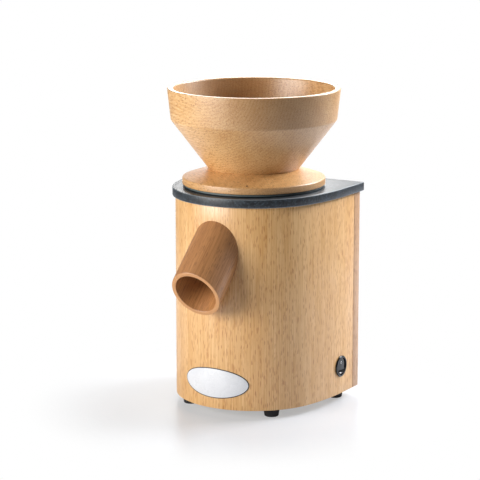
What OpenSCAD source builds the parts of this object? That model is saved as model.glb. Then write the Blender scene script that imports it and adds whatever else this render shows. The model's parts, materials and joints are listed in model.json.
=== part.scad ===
// Electric grain mill: a turned hopper over a pair of millstones, with a
// motor standing below them in a wooden casing and a sloping flour spout.
// Millimetres. +Z is up, the rounded nose and the spout face -Y, and the
// switch is on the +X side. The origin lies on the floor, under the middle
// of the whole outline.

/* [Casing] */
// Width over the straight sides
case_w = 190; // [184:1:210]
// How much smaller the nose's radius is than half the width
nose_inset = 5; // [2:0.5:8]
// From the hopper's axis back to where the sides run straight
side_start = 40; // [30:1:50]
// From the hopper's axis to the back of the rear panel
case_back = 81.5; // [81:0.5:100]
// Height of the wooden casing
case_h = 233; // [228:1:290]
// Wall of the bent shell
shell_t = 8; // [5:0.5:9]
// Thickness of the rear panel
rear_t = 14; // [8:0.5:15]
// Thickness of the base board
base_t = 12; // [8:0.5:18]
// Width of the battens that hold the rear panel
batten_w = 10; // [8:0.5:12]
// Depth of the battens that hold the rear panel
batten_d = 12; // [8:0.5:13]

/* [Top plate] */
// Thickness of the top plate
plate_t = 10; // [8:0.5:14]
// How far the top plate stands out past the casing
plate_overhang = 3.5; // [1:0.5:6]

/* [Feet] */
// Height of the rubber feet
foot_h = 10; // [7:0.5:16]
// Diameter of a foot where it meets the base
foot_top_d = 19; // [14:0.5:22]
// Diameter of a foot on the floor
foot_floor_d = 16; // [12:0.5:18]
// Angle between the front and a front foot, about the hopper's axis
foot_front_angle = 46; // [30:1:60]
// From the face of the nose back to the middle of a front foot
foot_front_inset = 15; // [12:0.5:30]
// From the casing's side to the middle of a rear foot
foot_side_inset = 16.5; // [14:0.5:30]
// From the back of the casing to the middle of a rear foot
foot_back_inset = 26.5; // [24:0.5:40]

/* [Spout] */
// Outside diameter of the wooden spout
spout_d = 59.2; // [52:0.2:60]
// Wall of the spout
spout_wall = 4.85; // [3:0.05:8]
// How steeply the spout falls, below level
spout_slope = 43.3; // [40:0.1:46]
// From the casing's top down to where the spout's axis meets the nose
spout_drop = 57.6; // [56:0.2:65]
// Length of the spout in front of the nose, along its axis
spout_reach = 51.7; // [35:0.1:80]
// Angle below level that the mouth faces
mouth_tilt = 29.2; // [10:0.1:40]
// How far the spout reaches in behind the shell
spout_seat = 6; // [4:0.5:8]

/* [Hopper] */
// Diameter over the rim
rim_d = 198; // [180:1:230]
// Diameter at the bend between the cone and the upright band
bend_d = 189.8; // [175:0.2:225]
// Diameter of the neck
neck_d = 104; // [80:1:120]
// Diameter of the flange at the hopper's foot
flange_d = 164; // [150:1:176]
// Height of the flange's upright edge
flange_edge = 7.6; // [5:0.2:12]
// Rise of the flange from its edge to the neck
flange_rise = 9.9; // [5:0.1:16]
// Height of the cone between the neck and the bend
cone_h = 56.3; // [45:0.1:75]
// Height of the upright band
band_h = 36.1; // [25:0.1:50]
// Wall of the hopper at its rim
hopper_wall = 7; // [4:0.5:12]
// Bore of the metal tube that grain falls through
throat_bore = 43; // [36:0.5:44]
// Wall of that tube
throat_wall = 2.5; // [1:0.25:3]
// Diameter of the spigot that joins funnel and flange
spigot_d = 80; // [60:1:90]
// Depth of that spigot
spigot_h = 5; // [3:0.5:8]
// Diameter of the setting dot
dot_d = 2.6; // [2:0.2:4]
// Place of the dot, to the right of the front
dot_angle = 24.5; // [0:0.5:60]
// How far the dot is from the flange's edge
dot_inset = 5; // [4:0.5:8]

/* [Millstones] */
// Diameter of both millstones
stone_d = 90; // [80:1:92]
// Thickness of each millstone
stone_t = 12; // [8:0.5:14]
// Gap between the stones at rest
grind_gap = 0.5; // [0.2:0.1:1.5]
// Width of the flour channel round the stones
channel_w = 13; // [11:0.5:14]
// Eye of the upper stone
upper_eye_d = 40; // [30:1:42]
// Eye of the lower stone
lower_eye_d = 28; // [24:1:34]
// Depth of the furrows in the stones
furrow_h = 1; // [0.4:0.1:2]
// Furrows in each stone
furrow_count = 10; // [6:1:14]

/* [Milling chamber] */
// From the top of the top plate down to the chamber's underside
chamber_depth = 57; // [56:0.5:60]
// Wall of the chamber
chamber_wall = 4; // [3:0.5:5]
// Thickness of the chamber's floor
chamber_floor = 4; // [3:0.5:5]
// Width of the flange under the top plate
chamber_flange_w = 13; // [11:0.5:13]
// Thickness of that flange
chamber_flange_t = 3.5; // [2.5:0.5:3.5]
// Half the width of the outlet block
outlet_half_w = 28; // [26:0.5:28]
// Slope of the outlet's floor, below level
outlet_slope = 65; // [60:1:70]

/* [Stone carriers] */
// Thickness of the disc behind each stone
carrier_t = 5; // [4:0.5:6]
// Wall of the upper carrier's threaded skirt
skirt_wall = 5.6; // [3:0.2:8]
// Thickness of the upper carrier's flange
carrier_flange_t = 2.3; // [2:0.1:4]
// How far that flange stays inside the hopper's flange
carrier_inset = 2; // [1:0.5:6]
// Gap between that flange and the top plate
plate_gap = 0.9; // [0.6:0.1:2]
// Height of the felt seal
seal_h = 4; // [3:0.25:5]
// Diameter of the lower carrier
lower_carrier_d = 100; // [94:1:102]
// Gap between the lower carrier and the chamber's floor
floor_gap = 2; // [1:0.25:3]
// Diameter of the lower carrier's hub
hub_d = 24; // [20:1:24]
// Height of the sweepers
sweeper_h = 9; // [6:0.5:10]
// Sweepers on the lower carrier
sweeper_count = 3; // [2:1:6]

/* [Motor] */
// Outside diameter of the motor's end shields
motor_d = 108; // [104:1:110]
// Wall of the end shields' skirts
motor_wall = 4; // [3:0.5:5]
// Thickness of the end shields
shield_t = 8; // [6:0.5:9]
// Height of the stator's core
core_h = 50; // [40:1:55]
// Bore of the stator's core
stator_bore = 56.8; // [54:0.2:58]
// Air gap between the rotor and the stator
air_gap = 0.4; // [0.3:0.05:0.6]
// Height of the windings above and below the core
winding_h = 16; // [10:1:17]
// Room between the core and each end shield
shield_room = 28; // [26:1:30]
// How far each skirt laps over the core
skirt_lap = 4; // [2:0.5:8]
// Diameter of the shaft
shaft_d = 12; // [10:0.5:13]
// Outside diameter of the ball bearings
bearing_d = 32; // [30:1:34]
// Width of the ball bearings
bearing_w = 10; // [8:0.5:10]
// Balls in each bearing
ball_count = 8; // [6:1:9]
// Diameter of the cooling fan
fan_d = 90; // [70:1:94]
// Height of the cooling fan
fan_h = 12; // [8:0.5:14]
// Blades of the cooling fan
blade_count = 9; // [5:1:12]
// Diameter of the long motor bolts
bolt_d = 5; // [4:0.5:5]

/* [Switch] */
// How far the switch stands behind the hopper's axis
switch_y = 37.6; // [30:0.2:45]
// Height of the switch above the base of the casing
switch_z = 33; // [30:0.5:60]
// Diameter of the switch's bezel
bezel_d = 25; // [24:0.5:27]
// How far the bezel stands out
bezel_t = 1.8; // [1:0.1:3]
// Diameter of the rocker
rocker_d = 19.6; // [16:0.2:20]
// Travel of the rocker
rocker_travel = 16; // [10:1:18]
// Depth of the switch behind the casing's side
switch_depth = 22; // [18:1:26]

/* [Electrics] */
// Diameter of the run capacitor
capacitor_d = 32; // [25:1:33]
// Height of the run capacitor
capacitor_h = 60; // [40:1:80]
// Diameter of the cord that the bushing takes
cord_d = 7; // [6:0.5:8]
// Height of the cord bushing above the base of the casing
bushing_z = 24; // [22:1:30]
// Sideways place of the cord bushing, towards the left
bushing_x = 50; // [40:1:52]
// Diameter of the bushing's outer flange
bushing_d = 18; // [16:0.5:24]
// Thickness of the bushing's outer flange
bushing_t = 2.5; // [1.5:0.5:3]

/* [Badge] */
// Width of the blank oval badge, measured round the nose
badge_w = 85; // [60:1:100]
// Height of the badge
badge_h = 34.8; // [20:0.2:45]
// Height of its middle above the base of the casing
badge_z = 29.7; // [24:0.1:60]
// Thickness of the badge
badge_t = 0.8; // [0.5:0.1:2]

/* [Hidden] */
$fn = 96;

// Clearances
fit = 0.05;        // radial room of a fixed screw, pin or tube in its hole
run_fit = 0.08;    // radial room of a turning shaft, thread or pin
seat_gap = 0.3;    // room between pieces that only lie close together
nose_gap = 0.02;   // glue line under the badge
hub_gap = 0.5;     // room round the hub in the chamber's floor
cut = 1;           // how far a cutting shape runs past what it cuts

// Plan of the casing: a round nose about the hopper's axis, two long side
// arcs that leave it and come straight, and the straight sides
half_w = case_w / 2;
nose_r = half_w - nose_inset;
side_r = (pow(half_w, 2) - pow(nose_r, 2) + pow(side_start, 2)) / (2 * nose_inset);
join_y = -side_start / (side_r - nose_r);
seam_y = case_back - rear_t;

// Levels from the floor
case_top = foot_h + case_h;
plate_top = case_top + plate_t;
base_top = foot_h + base_t;
carrier_bottom = plate_top + plate_gap;
flange_z = carrier_bottom + carrier_flange_t;
edge_z = flange_z + flange_edge;
neck_z = edge_z + flange_rise;
bend_z = neck_z + cone_h;
rim_z = bend_z + band_h;

// Milling chamber and stones
chamber_bottom = plate_top - chamber_depth;
floor_top = chamber_bottom + chamber_floor;
stone_r = stone_d / 2;
chamber_bore_r = stone_r + channel_w;
chamber_r = chamber_bore_r + chamber_wall;
plate_hole_r = chamber_r + 8 * fit;
chamber_flange_r = chamber_r + chamber_flange_w;
lower_disc_z = floor_top + floor_gap;
lower_stone_z = lower_disc_z + carrier_t;
lower_stone_top = lower_stone_z + stone_t;
upper_stone_z = lower_stone_top + grind_gap;
upper_disc_z = upper_stone_z + stone_t;
upper_disc_top = upper_disc_z + carrier_t;
skirt_r = chamber_bore_r - run_fit;
seal_top = carrier_bottom - 2 * fit;
collar_top = seal_top - seal_h - seat_gap;
carrier_flange_r = flange_d / 2 - carrier_inset;
throat_r = throat_bore / 2 + throat_wall;
throat_lip_z = neck_z + 3;

// Spout: its axis meets the nose at spout_top_z
spout_r = spout_d / 2;
spout_bore_r = spout_r - spout_wall;
spout_top_z = case_top - spout_drop;
mouth_y = -nose_r - spout_reach * cos(spout_slope);
mouth_z = spout_top_z - spout_reach * sin(spout_slope);
spout_end_y = -(nose_r - shell_t - spout_seat);
outlet_face_y = spout_end_y + seat_gap;
outlet_roof = upper_stone_z + stone_t - run_fit - 3.5;

// The middle of the outline, front to back
front_y = mouth_y - spout_r / cos(spout_slope - mouth_tilt) * sin(mouth_tilt);
plate_back = case_back + plate_overhang;
back_y = max(plate_back, rim_d / 2);
mid_y = (front_y + back_y) / 2;

// Motor, hanging from the chamber's floor
motor_r = motor_d / 2;
upper_shield_z = chamber_bottom - shield_t;
core_top = upper_shield_z - shield_room;
core_z = core_top - core_h;
lower_shield_top = core_z - shield_room;
lower_shield_z = lower_shield_top - shield_t;
stator_r = motor_r - motor_wall - fit;
shaft_r = shaft_d / 2;
boss_r = bearing_d / 2 + 4;
bearing_step = 1;
upper_bearing_z = upper_shield_z - bearing_step - bearing_w + 2;
lower_bearing_z = lower_shield_top + bearing_step;
race_r = (shaft_r + bearing_d / 2) / 2;
ball_r = 2.4;
race_half = 2;
fan_gap = 6;
fan_z = lower_shield_z - fan_gap - fan_h;
shaft_bottom = fan_z - 4;
shaft_top = lower_stone_top - 4;
bolt_circle = motor_r + 4;
ear_r = bolt_d / 2 + 3.5;
ear_h = 12;

// Fasteners
screw_d = 4;
head_d = 8;
head_h = 2.2;
stone_screw_d = 3;
stone_screw_head_d = 6;
stone_screw_head_h = 1.8;
mount_circle = 38;
stone_screw_circle = 33;
hopper_screw_circle = 70;
chamber_screw_circle = 69;

// Switch
switch_floor_z = foot_h + switch_z;
side_x = half_w;
rocker_r = rocker_d / 2;
rocker_ball_r = rocker_r + 0.1;
barrel_bore_r = rocker_ball_r + seat_gap;
barrel_r = barrel_bore_r + 1.1;
pivot_x = side_x - 1;
rocker_pin_d = 2.4;

// Electrics
capacitor_x = 33 - half_w;
capacitor_y = 44;
block_size = [40, 12, 12];
block_at = [half_w - 75, 46];
blade_y = 4;
lead_d = 3;
lead_bend = 5;
lead_sides = 8;
barrel_d = cord_d + 6;

// Moves a part that is drawn about the hopper's axis to its place
module at_axis() {
    translate([0, -mid_y, 0]) children();
}

// Copies a part round the hopper's axis
module round_axis(count, radius, first = 0) {
    for (i = [0 : count - 1])
        rotate([0, 0, first + i * 360 / count]) translate([radius, 0, 0]) children();
}

module tube(outer, inner, low, high) {
    translate([0, 0, low]) difference() {
        cylinder(r = outer, h = high - low);
        translate([0, 0, -cut]) cylinder(r = inner, h = high - low + 2 * cut);
    }
}

// Plan of the casing, grown outwards by grow and ended at y = back
module casing_plan(grow, back) {
    intersection() {
        union() {
            circle(r = nose_r + grow);
            intersection() {
                translate([half_w - side_r, side_start]) circle(r = side_r + grow);
                translate([side_r - half_w, side_start]) circle(r = side_r + grow);
                translate([-case_w, (nose_r + grow) * join_y])
                    square([2 * case_w, side_start - (nose_r + grow) * join_y]);
            }
            translate([-half_w - grow, side_start]) square([case_w + 2 * grow, back - side_start]);
        }
        translate([-case_w, -case_w]) square([2 * case_w, case_w + back]);
    }
}

// A wood screw along +Z with its countersunk head's face at z = 0
module flat_screw(length, room = 0, d = screw_d, head = head_d, head_high = head_h) {
    cylinder(r1 = head / 2 + room, r2 = d / 2 + room, h = head_high);
    cylinder(r = d / 2 + room, h = length + room);
    if (room > 0) translate([0, 0, -cut]) cylinder(r = head / 2 + room, h = cut);
}

// A pan-headed screw along -Z with its head above z = 0
module pan_screw(length, room = 0, d = stone_screw_d) {
    cylinder(r = d + room, h = d * 0.8);
    translate([0, 0, -length - room]) cylinder(r = d / 2 + room, h = length + room + d * 0.4);
}

// Places of the screws
module at_feet() {
    for (side = [-1, 1]) {
        rotate([0, 0, side * foot_front_angle]) translate([0, foot_front_inset - nose_r, 0]) children();
        translate([side * (half_w - foot_side_inset), case_back - foot_back_inset, 0]) children();
    }
}

module at_panel_screws() {
    for (side = [-1, 1], level = [20, case_h / 2, case_h - 20])
        translate([side * (half_w - shell_t - batten_w / 2), case_back, foot_h + level])
            rotate([90, 0, 0]) children();
}

module at_chamber_screws() {
    round_axis(6, chamber_screw_circle) translate([0, 0, case_top - chamber_flange_t]) children();
}

module at_mount_screws() {
    round_axis(4, mount_circle, 45) translate([0, 0, floor_top]) rotate([180, 0, 0]) children();
}

module at_spout() {
    translate([0, -nose_r, spout_top_z]) rotate([90 + spout_slope, 0, 0]) children();
}

module at_switch() {
    translate([side_x, switch_y, switch_floor_z]) rotate([0, 90, 0]) children();
}

module at_bushing() {
    translate([-bushing_x, case_back, foot_h + bushing_z]) rotate([-90, 0, 0]) children();
}

module at_badge_oval() {
    half = nose_r * sin(badge_w / 2 / nose_r * 180 / PI);
    translate([0, 0, foot_h + badge_z]) rotate([90, 0, 0]) linear_extrude(nose_r + 10)
        polygon([for (a = [0 : 6 : 354]) [half * cos(a), badge_h / 2 * sin(a)]]);
}

// ---- Casing ----

module body_shell() {
    color("burlywood") at_axis() difference() {
        translate([0, 0, foot_h]) linear_extrude(case_h) difference() {
            casing_plan(0, seam_y);
            casing_plan(-shell_t, seam_y + cut);
        }
        at_spout() cylinder(r = spout_r + fit, h = 4 * shell_t + 2 * spout_d, center = true);
        at_switch() cylinder(r = barrel_r + fit, h = 4 * shell_t, center = true);
    }
}

module rear_panel() {
    slots = 6;
    slot_w = 70;
    slot_h = 4;
    slot_step = 9;
    slots_low = 60;
    color("burlywood") at_axis() difference() {
        translate([-half_w, seam_y, foot_h]) cube([case_w, rear_t, case_h]);
        for (i = [0 : slots - 1])
            translate([-slot_w / 2, seam_y - cut, foot_h + slots_low + i * slot_step])
                cube([slot_w, rear_t + 2 * cut, slot_h]);
        at_panel_screws() flat_screw(rear_t + cut, fit);
        at_bushing() cylinder(r = barrel_d / 2 + fit, h = 4 * rear_t, center = true);
    }
}

module rear_battens() {
    color("wheat") at_axis() difference() {
        for (side = [-1, 1])
            translate([side * (half_w - shell_t - batten_w / 2) - batten_w / 2,
                       seam_y - batten_d, base_top])
                cube([batten_w, batten_d, case_h - base_t]);
        at_panel_screws() flat_screw(rear_t + batten_d - 2, fit);
        at_switch() cylinder(r = barrel_r + fit, h = 2 * switch_depth + 10, center = true);
    }
}

module base_board() {
    vents = 8;
    vent_d = 10;
    vent_circle = 32;
    color("tan") at_axis() difference() {
        translate([0, 0, foot_h]) linear_extrude(base_t) casing_plan(-shell_t, seam_y);
        round_axis(vents, vent_circle) translate([0, 0, foot_h - cut])
            cylinder(d = vent_d, h = base_t + 2 * cut);
        at_feet() translate([0, 0, foot_h - cut]) cylinder(r = screw_d / 2 + fit, h = base_t - 3 + cut);
        translate([capacitor_x, capacitor_y, foot_h + 2]) cylinder(r = 4 + fit, h = base_t);
    }
}

module top_plate() {
    color("slategray") at_axis() difference() {
        translate([0, 0, case_top]) linear_extrude(plate_t) casing_plan(plate_overhang, plate_back);
        translate([0, 0, case_top - cut]) cylinder(r = plate_hole_r, h = plate_t + 2 * cut);
        at_chamber_screws() cylinder(r = screw_d / 2 + fit, h = chamber_flange_t + plate_t - 3);
    }
}

module rear_panel_screws() {
    color("silver") at_axis() at_panel_screws() flat_screw(rear_t + batten_d - 3);
}

module rubber_feet() {
    color("black") at_axis() at_feet() difference() {
        cylinder(d1 = foot_floor_d, d2 = foot_top_d, h = foot_h);
        translate([0, 0, -cut]) cylinder(r = screw_d / 2 + fit, h = foot_h + 2 * cut);
        translate([0, 0, -cut]) cylinder(r = head_d / 2 + fit, h = foot_h / 2 + cut);
    }
}

module foot_screws() {
    color("silver") at_axis() at_feet() translate([0, 0, foot_h / 2]) {
        translate([0, 0, -head_h]) cylinder(d = head_d, h = head_h);
        translate([0, 0, -head_h / 2]) cylinder(d = screw_d, h = foot_h / 2 + base_t - 4 + head_h / 2);
    }
}

module name_badge() {
    color("white") at_axis() intersection() {
        tube(nose_r + badge_t, nose_r + nose_gap, foot_h, foot_h + case_h);
        at_badge_oval();
    }
}

module spout() {
    color("peru") at_axis() difference() {
        at_spout() translate([0, 0, -2 * spout_d]) cylinder(r = spout_r, h = 4 * spout_d);
        at_spout() translate([0, 0, -2 * spout_d - cut]) cylinder(r = spout_bore_r, h = 4 * spout_d + 2 * cut);
        translate([-spout_d, spout_end_y, 0]) cube([2 * spout_d, 4 * spout_d, 2 * case_h]);
        translate([0, mouth_y, mouth_z]) rotate([mouth_tilt, 0, 0])
            translate([-spout_d, -4 * spout_d, -4 * spout_d]) cube([2 * spout_d, 4 * spout_d, 8 * spout_d]);
    }
}

// ---- Milling chamber ----

module outlet_channel() {
    rear_reach = chamber_r + 4;
    intersection() {
        at_spout() cylinder(r = spout_bore_r, h = 4 * spout_d, center = true);
        translate([-spout_d, -nose_r, 0]) cube([2 * spout_d, nose_r - chamber_bore_r + 4, outlet_roof]);
        translate([0, -chamber_bore_r - 2, floor_top]) rotate([outlet_slope, 0, 0])
            translate([-spout_d, -rear_reach, 0]) cube([2 * spout_d, 2 * rear_reach, rear_reach]);
    }
}

module milling_chamber() {
    outlet_low = spout_top_z + (nose_r + spout_end_y) * tan(spout_slope)
        - spout_bore_r / cos(spout_slope) - 2;
    flange_low = case_top - chamber_flange_t;
    color("gainsboro") at_axis() difference() {
        union() {
            translate([0, 0, chamber_bottom]) cylinder(r = chamber_r, h = collar_top - chamber_bottom);
            translate([0, 0, flange_low]) intersection() {
                cylinder(r = chamber_flange_r, h = chamber_flange_t);
                translate([-case_w, -case_w, 0])
                    cube([2 * case_w, case_w + seam_y - seat_gap, chamber_flange_t]);
            }
            translate([-outlet_half_w, outlet_face_y, outlet_low])
                cube([2 * outlet_half_w, -outlet_face_y - bolt_circle - ear_r - 1, flange_low - outlet_low]);
            translate([-outlet_half_w, outlet_face_y, chamber_bottom])
                cube([2 * outlet_half_w, -outlet_face_y - chamber_bore_r + 8, flange_low - chamber_bottom]);
        }
        translate([0, 0, floor_top]) cylinder(r = chamber_bore_r, h = chamber_depth);
        translate([0, 0, chamber_bottom - cut]) cylinder(r = hub_d / 2 + hub_gap, h = chamber_floor + 2 * cut);
        outlet_channel();
        at_mount_screws() flat_screw(chamber_floor + cut, fit);
        at_chamber_screws() translate([0, 0, -cut]) cylinder(r = screw_d / 2 + fit, h = chamber_flange_t + 2 * cut);
    }
}

module chamber_screws() {
    color("silver") at_axis() at_chamber_screws() {
        translate([0, 0, -head_h]) cylinder(d = head_d, h = head_h);
        translate([0, 0, -head_h / 2]) cylinder(d = screw_d, h = chamber_flange_t + plate_t - 4 + head_h / 2);
    }
}

// ---- Motor ----

module motor_upper_shield() {
    pocket_top = upper_bearing_z + bearing_w;
    color("silver") at_axis() difference() {
        union() {
            translate([0, 0, upper_shield_z]) cylinder(r = motor_r, h = shield_t);
            translate([0, 0, upper_bearing_z - bearing_step]) cylinder(r = boss_r, h = bearing_w + shield_t);
            tube(motor_r, motor_r - motor_wall, core_top - skirt_lap, upper_shield_z + cut);
            round_axis(4, bolt_circle) translate([0, 0, chamber_bottom - ear_h]) cylinder(r = ear_r, h = ear_h);
        }
        translate([0, 0, upper_bearing_z - 2 * bearing_step])
            cylinder(r = bearing_d / 2 + fit, h = pocket_top - upper_bearing_z + 2 * bearing_step);
        translate([0, 0, upper_bearing_z]) cylinder(r = shaft_r + 3, h = 2 * shield_t + bearing_w);
        translate([0, 0, core_top - skirt_lap - cut])
            tube(motor_r - motor_wall, boss_r, 0, upper_shield_z - core_top + skirt_lap + cut);
        at_mount_screws() flat_screw(chamber_floor + shield_t - 2, fit);
        round_axis(4, bolt_circle) translate([0, 0, chamber_bottom - ear_h - cut])
            cylinder(r = bolt_d / 2 + fit, h = ear_h - 3 + cut);
    }
}

module motor_lower_shield() {
    color("silver") at_axis() difference() {
        union() {
            translate([0, 0, lower_shield_z]) cylinder(r = motor_r, h = shield_t);
            translate([0, 0, lower_shield_z]) cylinder(r = boss_r, h = shield_t + 2 * bearing_step + bearing_w);
            tube(motor_r, motor_r - motor_wall, lower_shield_top - cut, core_z + skirt_lap);
            round_axis(4, bolt_circle) translate([0, 0, lower_shield_z]) cylinder(r = ear_r, h = shield_t);
        }
        translate([0, 0, lower_bearing_z]) cylinder(r = bearing_d / 2 + fit, h = bearing_w + 2 * bearing_step);
        translate([0, 0, lower_shield_z - cut]) cylinder(r = shaft_r + 3, h = shield_t + bearing_w);
        round_axis(4, bolt_circle) translate([0, 0, lower_shield_z - cut])
            cylinder(r = bolt_d / 2 + fit, h = shield_t + 2 * cut);
        round_axis(8, 36, 22.5) translate([0, 0, lower_shield_z - cut]) cylinder(d = 12, h = shield_t + 2 * cut);
    }
}

module stator_core() {
    color("dimgray") at_axis() tube(stator_r, stator_bore / 2, core_z, core_top);
}

module stator_windings() {
    inner = stator_bore / 2 + 3;
    outer = stator_r - 3;
    bevel = 4;
    color("darkorange") at_axis() for (low = [core_z - winding_h, core_top])
        translate([0, 0, low]) rotate_extrude()
            polygon([[inner + bevel, 0], [outer - bevel, 0], [outer, bevel], [outer, winding_h - bevel],
                     [outer - bevel, winding_h], [inner + bevel, winding_h], [inner, winding_h - bevel],
                     [inner, bevel]]);
}

module motor_bolts() {
    head = bolt_d * 0.7;
    color("silver") at_axis() round_axis(4, bolt_circle) {
        translate([0, 0, lower_shield_z - head]) cylinder(r = bolt_d * 0.85, h = head, $fn = 6);
        translate([0, 0, lower_shield_z - head / 2])
            cylinder(d = bolt_d, h = chamber_bottom - 4 - lower_shield_z + head / 2);
    }
}

module motor_mount_screws() {
    color("silver") at_axis() at_mount_screws() flat_screw(chamber_floor + shield_t - 3);
}

// One bearing ring between two radii with the groove for the balls
module bearing_ring(outer, inner) {
    for (low = [upper_bearing_z, lower_bearing_z])
        translate([0, 0, low]) rotate_extrude() difference() {
            translate([inner, 0]) square([outer - inner, bearing_w]);
            translate([race_r, bearing_w / 2]) circle(r = ball_r + run_fit);
        }
}

module bearing_outer_rings() {
    color("lightgray") at_axis() bearing_ring(bearing_d / 2, race_r + race_half);
}

module bearing_inner_rings() {
    color("lightgray") at_axis() bearing_ring(race_r - race_half, shaft_r + fit);
}

module bearing_balls() {
    color("white") at_axis() for (low = [upper_bearing_z, lower_bearing_z])
        round_axis(ball_count, race_r) translate([0, 0, low + bearing_w / 2]) sphere(r = ball_r);
}

module motor_shaft() {
    color("silver") at_axis() difference() {
        translate([0, 0, shaft_bottom]) cylinder(r = shaft_r, h = shaft_top - shaft_bottom);
        key_shape(fit);
    }
}

module rotor_core() {
    color("dimgray") at_axis() tube(stator_bore / 2 - air_gap, shaft_r + fit, core_z, core_top);
}

module rotor_end_rings() {
    ring_h = 8;
    color("lightgray") at_axis() for (low = [core_z - ring_h, core_top])
        tube(stator_bore / 2 - 1.5, stator_bore / 2 - 8, low, low + ring_h);
}

module cooling_fan() {
    fan_hub_r = shaft_r + 7;
    fan_disc_t = 2;
    color("darkslategray") at_axis() difference() {
        union() {
            translate([0, 0, fan_z]) cylinder(r = fan_hub_r, h = fan_h);
            translate([0, 0, fan_z]) cylinder(d = fan_d, h = fan_disc_t);
            round_axis(blade_count, 0) translate([fan_hub_r - 1, -1, fan_z])
                cube([fan_d / 2 - fan_hub_r - 1, 2, fan_h]);
        }
        translate([0, 0, fan_z - cut]) cylinder(r = shaft_r + fit, h = fan_h + 2 * cut);
    }
}

// ---- Lower stone, driven by the motor ----

module key_shape(room = 0) {
    key = 4;
    translate([shaft_r - key / 2 - room, -key / 2 - room, lower_disc_z - chamber_floor + hub_gap - room])
        cube([key + 2 * room, key + 2 * room, carrier_t + chamber_floor - 2 + 2 * room]);
}

module shaft_key() {
    color("gray") at_axis() key_shape();
}

module lower_stone_carrier() {
    sweeper_out = chamber_bore_r - 2;
    sweeper_in = stone_r + 1;
    hub_low = chamber_bottom + 2;
    color("gray") at_axis() difference() {
        union() {
            translate([0, 0, lower_disc_z]) cylinder(d = lower_carrier_d, h = carrier_t);
            translate([0, 0, hub_low]) cylinder(d = hub_d, h = lower_disc_z - hub_low + cut);
            round_axis(sweeper_count, 0) translate([sweeper_in, -3, lower_disc_z])
                cube([sweeper_out - sweeper_in, 6, sweeper_h]);
        }
        translate([0, 0, hub_low - cut]) cylinder(r = shaft_r + fit, h = 2 * chamber_depth);
        key_shape(fit);
        round_axis(3, stone_screw_circle, 30) translate([0, 0, lower_disc_z])
            flat_screw(carrier_t + cut, fit, stone_screw_d, stone_screw_head_d, stone_screw_head_h);
    }
}

module furrows(level) {
    inner = upper_eye_d / 2 + 2;
    round_axis(furrow_count, 0) rotate([0, 0, 20]) translate([inner, -1.5, level])
        cube([stone_r - inner - 6, 3, 2 * furrow_h]);
}

module lower_millstone() {
    color("lightgray") at_axis() difference() {
        tube(stone_r, lower_eye_d / 2, lower_stone_z, lower_stone_top);
        furrows(lower_stone_top - furrow_h);
        round_axis(3, stone_screw_circle, 30) translate([0, 0, lower_stone_z - cut])
            cylinder(r = stone_screw_d / 2 + fit, h = stone_t / 2 + cut);
    }
}

module lower_stone_screws() {
    color("silver") at_axis() round_axis(3, stone_screw_circle, 30) translate([0, 0, lower_disc_z])
        flat_screw(carrier_t + stone_t / 2 - 1, 0, stone_screw_d, stone_screw_head_d, stone_screw_head_h);
}

module carrier_washer() {
    color("silver") at_axis() tube(lower_eye_d / 2 - 3, shaft_r + fit, lower_stone_z, lower_stone_z + 1.5);
}

module carrier_nut() {
    color("silver") at_axis() difference() {
        translate([0, 0, lower_stone_z + 1.5]) cylinder(r = lower_eye_d / 2 - 4, h = 5, $fn = 6);
        translate([0, 0, lower_stone_z]) cylinder(r = shaft_r + fit, h = stone_t);
    }
}

// ---- Felt seal round the upper carrier ----

module dust_seal() {
    color("saddlebrown") at_axis()
        tube(plate_hole_r - seat_gap, skirt_r + seat_gap, seal_top - seal_h, seal_top);
}

// ---- Hopper and upper stone, which screw up and down in the chamber ----

module hopper_funnel() {
    inner_bend = bend_d / 2 - hopper_wall + 0.5;
    inner_rim = rim_d / 2 - hopper_wall;
    color("burlywood") at_axis() rotate_extrude()
        polygon([[throat_r + fit, neck_z - spigot_h], [spigot_d / 2, neck_z - spigot_h],
                 [spigot_d / 2, neck_z], [neck_d / 2, neck_z], [bend_d / 2, bend_z],
                 [rim_d / 2, rim_z], [inner_rim, rim_z], [inner_bend, bend_z + 1],
                 [throat_r + fit, neck_z + 2]]);
}

module setting_dot_shape(room = 0) {
    lean = atan(flange_rise / (flange_d / 2 - neck_d / 2));
    rotate([0, 0, dot_angle - 90])
        translate([flange_d / 2 - dot_inset, 0, edge_z + dot_inset * tan(lean)])
            rotate([0, lean, 0]) translate([0, 0, -3 - room])
                cylinder(r = dot_d / 2 + room, h = 3.1 + room);
}

module hopper_base() {
    color("burlywood") at_axis() difference() {
        rotate_extrude()
            polygon([[throat_r + fit, flange_z], [flange_d / 2, flange_z], [flange_d / 2, edge_z],
                     [neck_d / 2, neck_z], [throat_r + fit, neck_z]]);
        translate([0, 0, neck_z - spigot_h]) cylinder(r = spigot_d / 2 + fit, h = spigot_h + cut);
        round_axis(4, hopper_screw_circle, 45) translate([0, 0, flange_z - cut])
            cylinder(r = screw_d / 2 + fit, h = flange_edge + cut);
        setting_dot_shape(fit);
    }
}

module setting_dot() {
    color("dimgray") at_axis() setting_dot_shape();
}

module throat_tube() {
    color("silver") at_axis() difference() {
        tube(throat_r, throat_bore / 2, upper_disc_top, throat_lip_z);
        guard_bars(throat_r + cut, fit);
    }
}

module guard_bars(reach, room = 0) {
    guard_d = 3;
    for (turn = [45, 135])
        rotate([0, 0, turn]) translate([0, 0, neck_z]) rotate([0, 90, 0])
            cylinder(r = guard_d / 2 + room, h = 2 * reach, center = true);
}

module throat_guard() {
    color("silver") at_axis() guard_bars(throat_bore / 2 + throat_wall - 0.5);
}

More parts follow.
